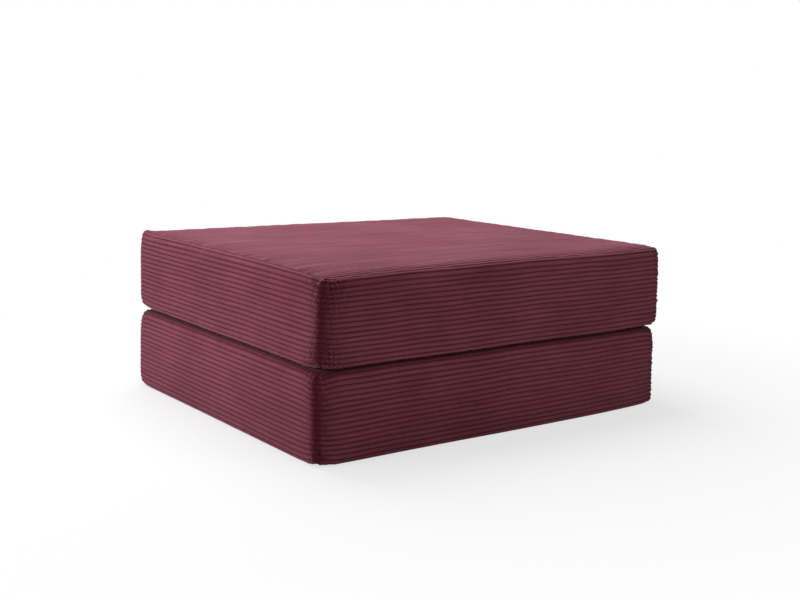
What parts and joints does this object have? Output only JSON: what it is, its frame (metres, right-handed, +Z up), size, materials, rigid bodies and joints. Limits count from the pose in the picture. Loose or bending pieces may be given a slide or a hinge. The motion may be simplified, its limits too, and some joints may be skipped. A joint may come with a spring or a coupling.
{
  "type": "fold out ottoman guest bed",
  "caption": "Ottoman of stacked foam slabs in ribbed corduroy covers, joined by a cloth hinge at one end, that opens out flat into a single guest bed.",
  "frame": {"origin": "on the floor under the middle of the folded ottoman", "axes": "+X along the length towards the cloth hinge, +Y across towards the zips, +Z up"},
  "size_m": [0.95, 0.8, 0.37],
  "materials": {
    "corduroy": "jumbo corduroy, cut pile, matt with a soft sheen",
    "foam": "open-cell polyurethane foam, cut faces",
    "hinge_cloth": "plain woven strip",
    "zip_tape": "woven polyester tape",
    "zip_teeth": "nylon coil",
    "zip_metal": "enamelled zinc, dyed to match"
  },
  "bodies": {
    "lower_half": {"lower_foam_core": "foam", "lower_sleep_panel": "corduroy", "lower_outer_panel": "corduroy", "lower_front_band": "corduroy", "lower_end_band": "corduroy", "lower_hinge_band": "corduroy", "lower_zip_strip_outer": "corduroy", "lower_zip_strip_inner": "corduroy", "lower_zip_tapes": "zip_tape", "lower_zip_teeth": "zip_teeth", "lower_zip_stops": "zip_metal", "fold_hinge_strip": "hinge_cloth"},
    "lower_slider": {"lower_zip_slider": "zip_metal"},
    "lower_pull": {"lower_zip_pull": "zip_metal"},
    "upper_half": {"upper_foam_core": "foam", "upper_sleep_panel": "corduroy", "upper_outer_panel": "corduroy", "upper_front_band": "corduroy", "upper_end_band": "corduroy", "upper_hinge_band": "corduroy", "upper_zip_strip_outer": "corduroy", "upper_zip_strip_inner": "corduroy", "upper_zip_tapes": "zip_tape", "upper_zip_teeth": "zip_teeth", "upper_zip_stops": "zip_metal"},
    "upper_slider": {"upper_zip_slider": "zip_metal"},
    "upper_pull": {"upper_zip_pull": "zip_metal"}
  },
  "joints": [
    {"name": "fold", "type": "hinge", "parent": "lower_half", "child": "upper_half", "pos_m": [0.4753, 0, 0.185], "axis": [0, 1, 0], "range_deg": [0, 180], "deforming": ["fold_hinge_strip"]},
    {"name": "lower_zip_run", "type": "slide", "parent": "lower_half", "child": "lower_slider", "axis": [1, 0, 0], "range_m": [0, 0.7861]},
    {"name": "lower_pull_swing", "type": "hinge", "parent": "lower_slider", "child": "lower_pull", "pos_m": [-0.4004, 0.3982, 0.09242], "axis": [0, 0, 1], "range_deg": [0, 150]},
    {"name": "upper_zip_run", "type": "slide", "parent": "upper_half", "child": "upper_slider", "axis": [1, 0, 0], "range_m": [0, 0.7861]},
    {"name": "upper_pull_swing", "type": "hinge", "parent": "upper_slider", "child": "upper_pull", "pos_m": [-0.4004, 0.3982, 0.27758], "axis": [0, 0, 1], "range_deg": [0, 150]}
  ]
}
